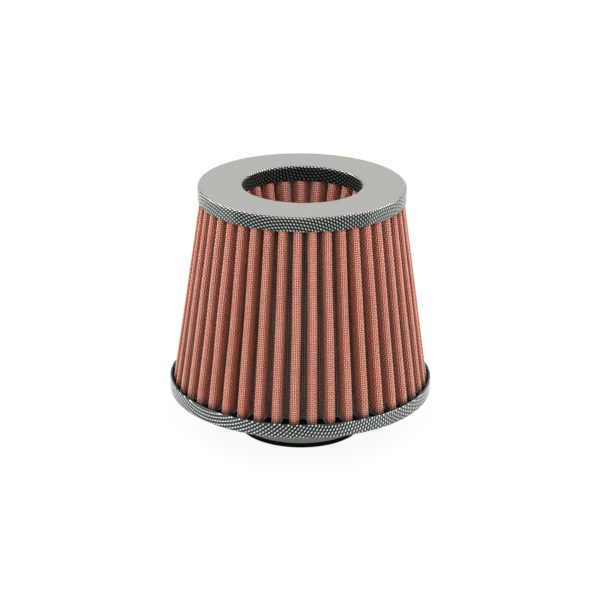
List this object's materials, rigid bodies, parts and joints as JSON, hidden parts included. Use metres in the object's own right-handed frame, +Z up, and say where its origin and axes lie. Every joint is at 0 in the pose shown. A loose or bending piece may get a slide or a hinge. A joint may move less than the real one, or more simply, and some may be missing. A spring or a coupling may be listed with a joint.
{
  "type": "cone air filter",
  "caption": "Pleated cone air filter with a carbon-look printed cap and base ring, an inverted pleated cone inside the cap's opening and a black rubber neck with a steel hose clamp for an intake pipe.",
  "frame": {"origin": "centre of the neck's mouth, on the surface that the filter stands on", "axes": "+Z up along the filter's axis from the neck to the cap, -Y towards the viewer of the picture"},
  "size_m": [0.155, 0.155, 0.1508],
  "materials": {
    "carbon_print": "glossy printed film with a fine light and dark weave pattern",
    "sealing_compound": "cast, satin black",
    "pleated_gauze": "terracotta red gauze under a fine woven wire screen",
    "black_rubber": "moulded, satin black",
    "clamp_steel": "satin stainless steel strip"
  },
  "bodies": {
    "root": {"top_cap": "carbon_print", "base_ring": "carbon_print", "top_seal": "sealing_compound", "inner_end_cap": "sealing_compound", "outer_pleats": "pleated_gauze", "inner_pleats": "pleated_gauze", "base_neck": "black_rubber", "clamp_band": "clamp_steel", "clamp_housing": "clamp_steel", "clamp_screw": "clamp_steel"}
  },
  "joints": []
}
